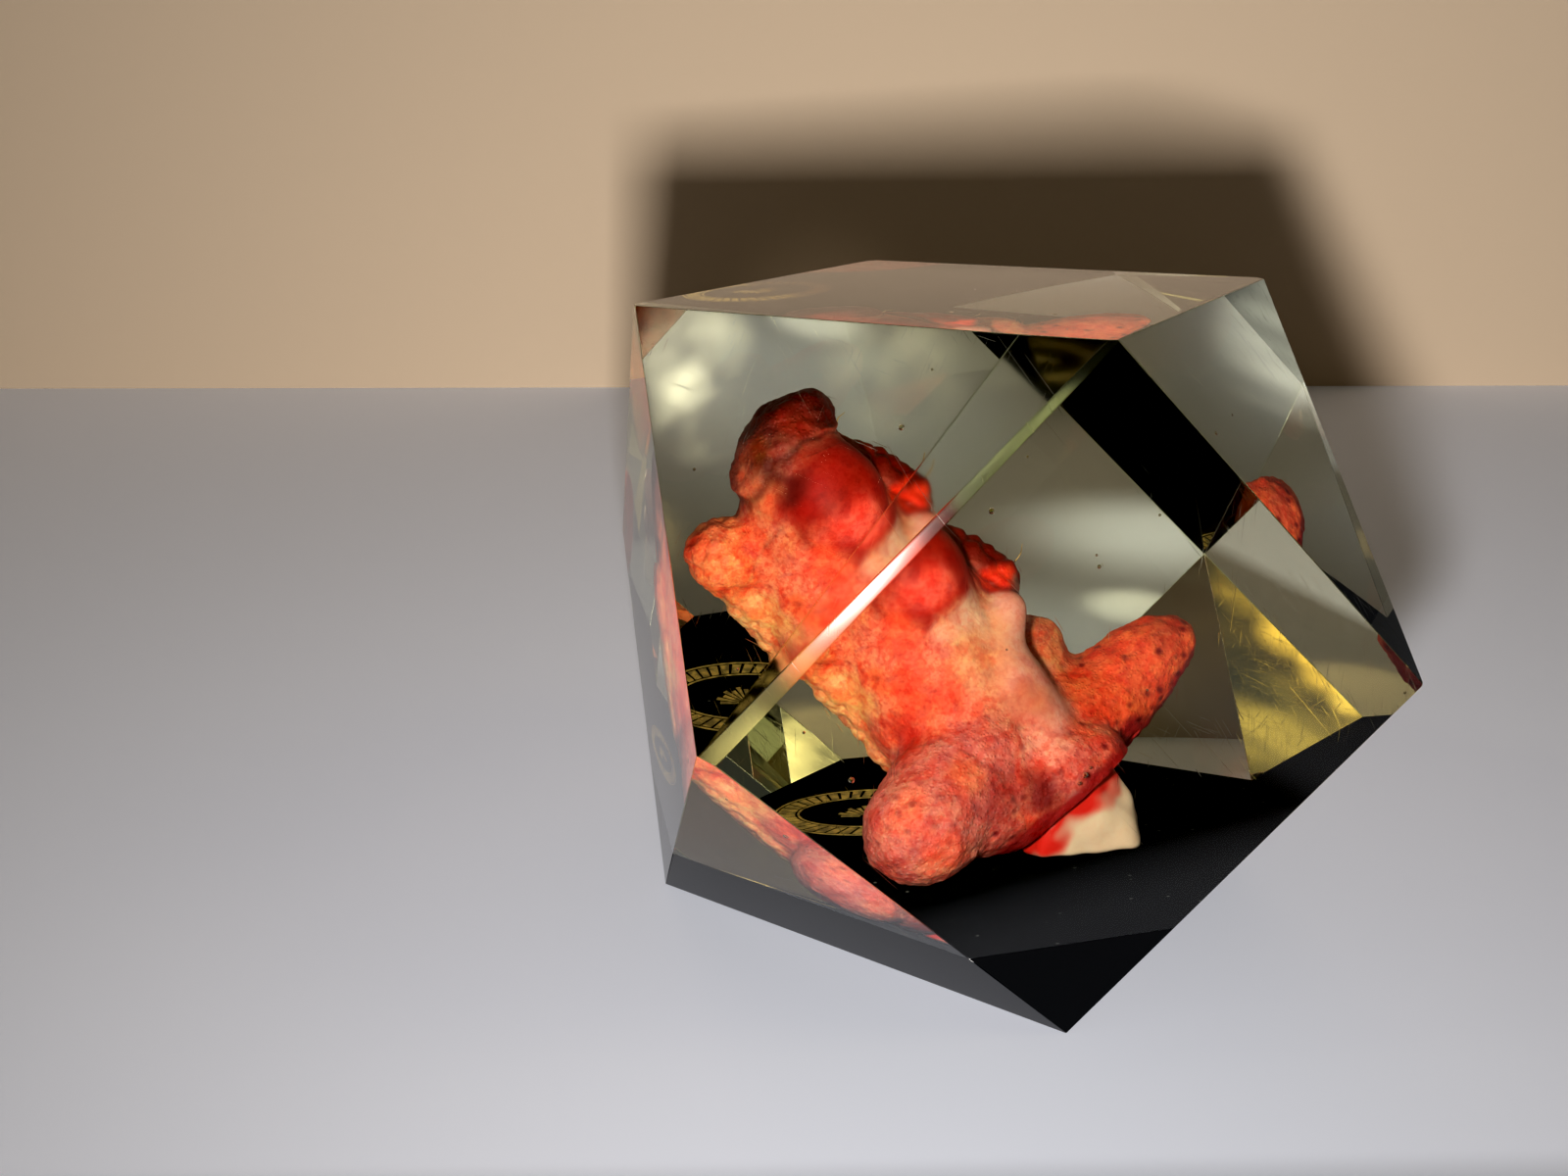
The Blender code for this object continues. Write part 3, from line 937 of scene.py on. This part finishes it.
def add_thread(form, stations):
    """A six-sided thread through its stations, tapered at both ends."""
    knots = np.array([(*station, 1.0) for station in stations])
    middles = [Vector(ball[:3]) for ball in along_limb(knots)]
    rings = []
    for step, middle in enumerate(middles):
        before = middles[max(step - 1, 0)]
        after = middles[min(step + 1, len(middles) - 1)]
        turn = (after - before).to_track_quat("Z", "Y").to_matrix()
        taper = math.sin(math.pi * (step + 0.6) / (len(middles) + 0.2)) ** 0.5
        ring = []
        for side in range(FIBRE_SIDES):
            angle = side * 2 * math.pi / FIBRE_SIDES
            out = turn @ Vector((math.cos(angle), math.sin(angle), 0)) * FIBRE_THICKNESS / 2 * taper
            ring.append(form.verts.new(place(*middle) + out))
        rings.append(ring)
    for ring, following in zip(rings, rings[1:]):
        for side in range(FIBRE_SIDES):
            beside = (side + 1) % FIBRE_SIDES
            form.faces.new((ring[side], ring[beside], following[beside], following[side]))
    form.faces.new(reversed(rings[0]))
    form.faces.new(rings[-1])


fibre_form = bmesh.new()
for stations in FIBRES:
    add_thread(fibre_form, stations)
bmesh.ops.recalc_face_normals(fibre_form, faces=fibre_form.faces)
for face in fibre_form.faces:
    face.smooth = True
fibres = to_object(fibre_form, "pale_fibres", fibre_material())
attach(fibres, "root")

# Clear resin
# The second pour, over the coral: polyester that has aged to a faint olive yellow, seen best along the
# longest paths through it. It touches the coral all over, so the coral stands in it with no pocket.

RESIN_IOR = 1.52
RESIN_TINT = (0.865, 0.88, 0.49, 1)
RESIN_DENSITY = 9.0
SEAM_DIP = 0.00005
SHADOW_SHARE = (0.045, 0.034, 0.014, 1)

# Air bubbles left in the casting: place from the middle of the block and radius, in millimetres.

BUBBLES = (
    (-0.6, 1.5, 12.4, 0.30), (3.4, 4.0, 17.0, 0.13), (10.6, 2.0, 6.0, 0.20), (14.5, -4.0, 12.0, 0.13),
    (7.0, -9.0, 9.6, 0.12), (-16.8, -14.0, -8.8, 0.30), (-20.5, -9.5, -5.0, 0.14), (16.0, 8.0, -12.0, 0.16),
    (12.6, -10.0, -4.0, 0.15), (-3.0, -16.0, 3.0, 0.10), (-22.0, 4.0, 10.5, 0.16), (4.6, 9.0, 21.0, 0.15),
    (6.3, -12.0, -11.6, 0.30), (5.7, -12.3, -12.3, 0.20), (6.9, -11.6, -11.0, 0.16),
)


def clear_resin():
    """Clear resin, with each face as well polished as its own mark says. Light from lamps goes straight
    through it, so that the coral is lit with no noise. It is dimmed on its way in, so that the block still
    throws a shadow."""
    made, tree, shader = new_material("clear resin", {
        "Base Color": (1, 1, 1, 1), "Transmission Weight": 1.0, "IOR": RESIN_IOR})
    add_marks(tree, shader, roughness=read_point(tree, "polish"), haze=0.010, scratches=0.06)
    leaving = tree.nodes.new("ShaderNodeNewGeometry").outputs["Backfacing"]
    dimmed = blend(tree, leaving, SHADOW_SHARE, (1, 1, 1, 1), "MIX")
    straight = add_node(tree, "ShaderNodeBsdfTransparent", {"Color": dimmed})
    path = tree.nodes.new("ShaderNodeLightPath")
    surface = shader.outputs["BSDF"]
    for ray in ("Is Shadow Ray", "Is Diffuse Ray"):
        choice = add_node(tree, "ShaderNodeMixShader", {
            "Fac": path.outputs[ray], 1: surface, 2: straight.outputs["BSDF"]})
        surface = choice.outputs["Shader"]
    inside = add_node(tree, "ShaderNodeVolumeAbsorption", {"Color": RESIN_TINT, "Density": RESIN_DENSITY})
    set_sockets(tree.nodes["Material Output"], {"Surface": surface, "Volume": inside.outputs["Volume"]})
    return made


clear_form = whole_casting()
seam_face = slice_off(clear_form, (0, 0, seam_height), (0, 0, -1))
bmesh.ops.inset_region(clear_form, faces=[seam_face], thickness=EDGE_ROUNDING, depth=SEAM_DIP)
for x, y, z, radius in BUBBLES:
    ball = bmesh.ops.create_icosphere(
        clear_form, subdivisions=3, radius=radius * MM, matrix=Matrix.Translation(place(x, y, z)))
    for face in {face for corner in ball["verts"] for face in corner.link_faces}:
        face.normal_flip()
        face.smooth = True
        face[clear_form.faces.layers.float["polish"]] = FACET_ROUGHNESS
clear_block = to_object(clear_form, "clear_resin_block", clear_resin())
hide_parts("resin_lower", "resin_upper")
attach(clear_block, "root")

# Floor and backdrop
# A pale cool cloth-coloured surface that the block stands on, and behind it a plain warm wall, turned a
# little and set mostly to the left.

SHEET_SIDE = 5.0
FLOOR_COLOUR = (0.84, 0.87, 0.97, 1)
WALL_COLOUR = (0.415, 0.335, 0.255, 1)
WALL_DISTANCE = 0.275
WALL_TURN = math.radians(-16)
WALL_SHIFT = 2.265


def plain_sheet(name, side, colour, roughness):
    """A square sheet of one plain colour with hardly any shine."""
    finish, _, _ = new_material(
        name.replace("_", " "), {"Base Color": colour, "Roughness": roughness, "Specular IOR Level": 0.2})
    form = bmesh.new()
    bmesh.ops.create_grid(form, size=side / 2)
    return to_object(form, name, finish)


floor = plain_sheet("floor", SHEET_SIDE, FLOOR_COLOUR, 0.8)
wall = plain_sheet("wall", SHEET_SIDE, WALL_COLOUR, 0.9)
wall.rotation_euler = (math.pi / 2, 0, WALL_TURN)
wall.location = (
    -math.sin(WALL_TURN) * WALL_DISTANCE - math.cos(WALL_TURN) * WALL_SHIFT,
    math.cos(WALL_TURN) * WALL_DISTANCE - math.sin(WALL_TURN) * WALL_SHIFT, 0)

# Light
# A small soft key just below and left of the camera throws the block's shadow up the wall behind it. Five
# small lamps stand for the light that the block gathers, and the room adds a faint even glow and windows.

KEY_PLACE = (-0.0455, -0.120, 0.058)
KEY_AIM = (0, 0, 0.03)
KEY_SIZE = 0.010
KEY_STRENGTH = 13.9
KEY_COLOUR = (1.0, 0.97, 0.93)


def add_lamp(name, kind, where, turn, power, colour):
    data = bpy.data.lights.new(name, kind)
    data.energy = power
    data.color = colour
    lamp = set_down(name, data)
    lamp.location = where
    lamp.rotation_euler = turn.to_euler()
    return lamp


key_turn = (Vector(KEY_AIM) - Vector(KEY_PLACE)).to_track_quat("-Z", "Y")
key = add_lamp("key", "AREA", KEY_PLACE, key_turn, KEY_STRENGTH, KEY_COLOUR)
key.data.shape = "RECTANGLE"
key.data.size = KEY_SIZE
key.data.size_y = KEY_SIZE

# The key is near, so its light is kept as strong at the wall as at the block.

key.data.use_nodes = True
falloff = add_node(key.data.node_tree, "ShaderNodeLightFalloff", {"Strength": 1.0})
set_sockets(key.data.node_tree.nodes["Emission"], {"Strength": falloff.outputs["Constant"]})

# A dark card stands low in front of the block, outside the picture. It keeps the key off the floor there,
# so that the block's front mirrors no bright floor over its black layer.

CARD_SIDE = 0.10
CARD_PLACE = (-0.0425, -0.1205, 0.020)
CARD_TURN = math.radians(-12)
CARD_COLOUR = (0.01, 0.01, 0.01, 1)


def keep_unseen(thing):
    """Leaves the light or the shadow of a thing in the picture, and takes out the thing itself."""
    thing.visible_camera = False
    thing.visible_glossy = False
    thing.visible_transmission = False


card = plain_sheet("dark_card", CARD_SIDE, CARD_COLOUR, 0.9)
card.location = CARD_PLACE
card.rotation_euler = (0, 0, CARD_TURN)
keep_unseen(card)

# The block gathers the key's light into bright patches behind it. Each is a small lamp close over the floor
# or the wall: the patch's place and the way the surface faces, its cone in degrees, its power and colour.

POOL_HEIGHT = 0.045
POOL_LAMP_RADIUS = 0.002
POOLS = (
    ((-0.008, 0.056, 0), (0, 0, 1), 30, 0.060, (1.0, 0.72, 0.30)),
    ((0.057, 0.093, 0), (0, 0, 1), 26, 0.050, (1.0, 0.95, 0.76)),
    ((0.080, 0.128, 0), (0, 0, 1), 84, 0.045, (1.0, 1.0, 0.96)),
    ((0.040, 0.078, 0), (0, 0, 1), 104, 0.020, (0.97, 1.0, 0.98)),
    ((0.050, 0.262, 0.020), (-0.276, -0.961, 0), 70, 0.012, (1.0, 0.94, 0.78)),
)

for number, (spot, facing, cone, power, colour) in enumerate(POOLS):
    above = Vector(spot) + Vector(facing) * POOL_HEIGHT
    turn = Vector(facing).to_track_quat("Z", "Y")
    pool = add_lamp(f"pool_{number}", "SPOT", above, turn, power, colour)
    pool.data.spot_size = math.radians(cone)
    pool.data.spot_blend = 1.0
    pool.data.shadow_soft_size = POOL_LAMP_RADIUS
    keep_unseen(pool)

# The room is dim and cool, with soft bright windows: where each lies as seen from the block, how wide it is
# in degrees, how strong it is and its colour. Curtains hang over them in upright folds.

ROOM = (0.064, 0.066, 0.069)
WINDOWS = (
    ((-0.716, 0.128, 0.690), 3.2, 6.5, (1.0, 0.96, 0.64)),
    ((-0.738, 0.094, 0.670), 2.8, 8.0, (1.0, 0.96, 0.64)),
    ((-0.648, 0.006, 0.765), 4.0, 2.7, (1.0, 0.95, 0.60)),
    ((-0.70, -0.57, 0.44), 16.0, 0.085, (1.0, 0.60, 0.12)),
    ((-0.750, -0.520, 0.410), 4.0, 0.45, (1.0, 0.74, 0.20)),
    ((-0.655, -0.598, 0.470), 2.0, 0.5, (1.0, 0.66, 0.14)),
    ((-0.684, -0.590, 0.434), 2.0, 0.9, (1.0, 0.66, 0.14)),
    ((-0.710, -0.583, 0.406), 1.8, 1.5, (1.0, 0.66, 0.14)),
    ((-0.733, -0.573, 0.380), 1.8, 3.4, (1.0, 0.70, 0.18)),
    ((0.69, -0.30, 0.66), 14.0, 1.60, (1.0, 0.85, 0.46)),
    ((0.828, 0.547, 0.120), 4.6, 1.5, (1.0, 1.0, 0.80)),
)
FOLD_SIZE = 0.05
FOLD_LENGTH = 0.4
FOLD_EDGE = (0.38, 0.66)
FOLD_LIGHT = (1.5, 0.12)
WINDOW_CORE = 0.2


def make_room():
    world = bpy.data.worlds.new("room")
    world.use_nodes = True
    tree = world.node_tree
    where = tree.nodes.new("ShaderNodeTexCoord").outputs["Generated"]
    folds = stretched(tree, where, (0, 0, 0), (FOLD_SIZE, FOLD_SIZE, FOLD_LENGTH))
    curtain = clouds(tree, folds, detail=2.0)
    drape = ramp(tree, curtain, *FOLD_EDGE, *FOLD_LIGHT)
    total = ROOM
    for direction, width, strength, colour in WINDOWS:
        middle = Vector(direction).normalized()
        near = add_node(tree, "ShaderNodeVectorMath", {0: where, 1: middle}, operation="DOT_PRODUCT")
        rim = math.cos(math.radians(width))
        full = math.cos(math.radians(width * WINDOW_CORE))
        glow = ramp(tree, near.outputs["Value"], rim, full, top=strength, shape="SMOOTHSTEP")
        draped = calculate(tree, "MULTIPLY", glow, drape)
        tinted = add_node(tree, "ShaderNodeVectorMath", {0: colour, "Scale": draped}, operation="SCALE")
        added = {0: total, 1: tinted.outputs["Vector"]}
        total = add_node(tree, "ShaderNodeVectorMath", added, operation="ADD").outputs["Vector"]
    set_sockets(tree.nodes["Background"], {"Color": total})
    return world


bpy.context.scene.world = make_room()

# Camera
# As the photo was taken: close, a little above the block, from its front left.

CAMERA_PLACE = (-0.0430, -0.1184, 0.0778)
CAMERA_TURN = (69.95, 0.87, -12.11)
CAMERA_LENS = 28.84

camera_data = bpy.data.cameras.new("camera")
camera_data.lens = CAMERA_LENS
camera_data.sensor_width = 36.0
camera_data.clip_start = 0.005
camera = set_down("camera", camera_data)
camera.location = CAMERA_PLACE
camera.rotation_euler = [math.radians(angle) for angle in CAMERA_TURN]
bpy.context.scene.camera = camera

cycles = bpy.context.scene.cycles
cycles.max_bounces = 16
cycles.transmission_bounces = 16
cycles.glossy_bounces = 8
cycles.diffuse_bounces = 3
cycles.transparent_max_bounces = 10
cycles.use_denoising = True
view = bpy.context.scene.view_settings
view.view_transform = "Standard"
view.gamma = 0.8
view.use_curve_mapping = True
view.curve_mapping.black_level = (0.008, 0.008, 0.008)
view.curve_mapping.update()
